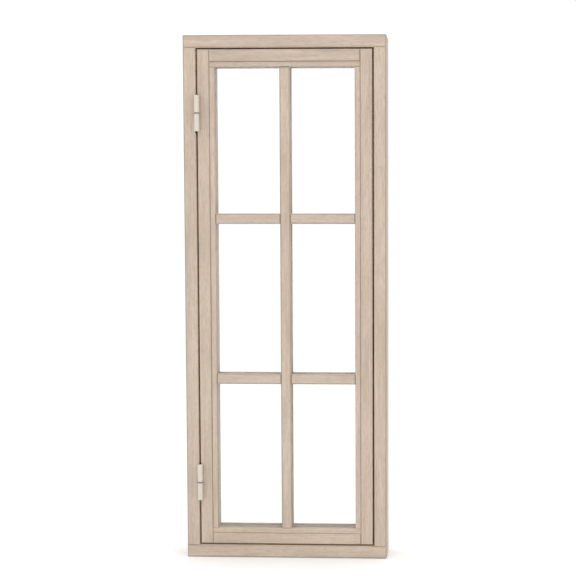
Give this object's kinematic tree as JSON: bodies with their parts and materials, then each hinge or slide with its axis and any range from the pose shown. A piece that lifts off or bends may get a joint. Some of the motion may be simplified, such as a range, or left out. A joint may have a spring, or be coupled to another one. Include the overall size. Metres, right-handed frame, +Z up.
{
  "type": "casement window",
  "caption": "Outward-opening timber casement window with six lights, lift-off hinges on the left and an espagnolette bolt on the room side.",
  "frame": {"origin": "centre of the sill's underside, half way through the frame's depth", "axes": "+X to the right seen from outdoors, +Z up, -Y outdoors"},
  "size_m": [0.49, 0.1061, 1.27],
  "materials": {
    "frame_wood": "planed pale timber, matt, fine straight grain",
    "sash_wood": "planed pale timber, matt, fine straight grain",
    "bead_wood": "planed pale timber, matt, fine straight grain",
    "dowels": "beech dowel, end grain",
    "hinge_cream": "cream powder coat, satin",
    "washers": "grey-beige plastic, matt",
    "screws": "zinc-plated steel",
    "rod_steel": "zinc-plated drawn steel",
    "latch_metal": "cream powder coat, satin",
    "glass": "clear float glass",
    "spacer": "matt beige aluminium",
    "seal": "black rubber, matt",
    "blocks": "black plastic"
  },
  "bodies": {
    "frame": {"frame_head": "frame_wood", "frame_sill": "frame_wood", "frame_jamb_hinge": "frame_wood", "frame_jamb_lock": "frame_wood", "frame_corner_screws": "screws", "frame_weatherstrip": "seal", "keep_head": "latch_metal", "keep_sill": "latch_metal", "keep_screws": "screws", "hinge_frame_leaf_upper": "hinge_cream", "hinge_frame_leaf_lower": "hinge_cream", "hinge_pins": "screws", "hinge_washers": "washers", "hinge_frame_screws": "screws"},
    "sash": {"hinge_sash_leaf_upper": "hinge_cream", "hinge_sash_leaf_lower": "hinge_cream", "hinge_sash_screws": "screws", "sash_stile_hinge": "sash_wood", "sash_stile_lock": "sash_wood", "sash_rail_top": "sash_wood", "sash_rail_bottom": "sash_wood", "sash_dowels": "dowels", "glass_outer": "glass", "glass_inner": "glass", "glass_spacer": "spacer", "glass_sealant": "seal", "cavity_bars": "spacer", "setting_blocks": "blocks", "tape_outer": "seal", "tape_inner": "seal", "bead_top": "bead_wood", "bead_hinge_side": "bead_wood", "bead_lock_side": "bead_wood", "bead_bottom": "bead_wood", "bead_pins": "screws", "muntin_outer_vertical": "bead_wood", "muntin_outer_upper_left": "bead_wood", "muntin_outer_upper_right": "bead_wood", "muntin_outer_lower_left": "bead_wood", "muntin_outer_lower_right": "bead_wood", "muntin_inner_vertical": "bead_wood", "muntin_inner_upper_left": "bead_wood", "muntin_inner_upper_right": "bead_wood", "muntin_inner_lower_left": "bead_wood", "muntin_inner_lower_right": "bead_wood", "latch_backplate": "latch_metal", "latch_case": "latch_metal", "latch_case_screws": "screws", "rod_guides": "latch_metal", "rod_guide_screws": "screws"},
    "handle": {"drive_pinion": "rod_steel", "handle_spindle": "rod_steel", "handle_lever": "latch_metal", "handle_screw": "screws"},
    "upper_bolt": {"upper_rod": "rod_steel"},
    "lower_bolt": {"lower_rod": "rod_steel"}
  },
  "joints": [
    {"name": "sash_swing", "type": "hinge", "parent": "frame", "child": "sash", "pos_m": [-0.21075, -0.05315, 0.635], "axis": [0, 0, -1], "range_deg": [0, 90]},
    {"name": "handle_turn", "type": "hinge", "parent": "sash", "child": "handle", "pos_m": [0.183, 0.0095, 0.6], "axis": [0, -1, 0], "range_deg": [0, 180]},
    {"name": "upper_rod_slide", "type": "slide", "parent": "sash", "child": "upper_bolt", "axis": [0, 0, 1], "range_m": [0, 0.01885]},
    {"name": "lower_rod_slide", "type": "slide", "parent": "sash", "child": "lower_bolt", "axis": [0, 0, -1], "range_m": [0, 0.01885]}
  ],
  "couplings": [
    {"joint": "upper_rod_slide", "follows": "handle_turn", "m_per_rad": 0.006},
    {"joint": "lower_rod_slide", "follows": "handle_turn", "m_per_rad": 0.006}
  ]
}
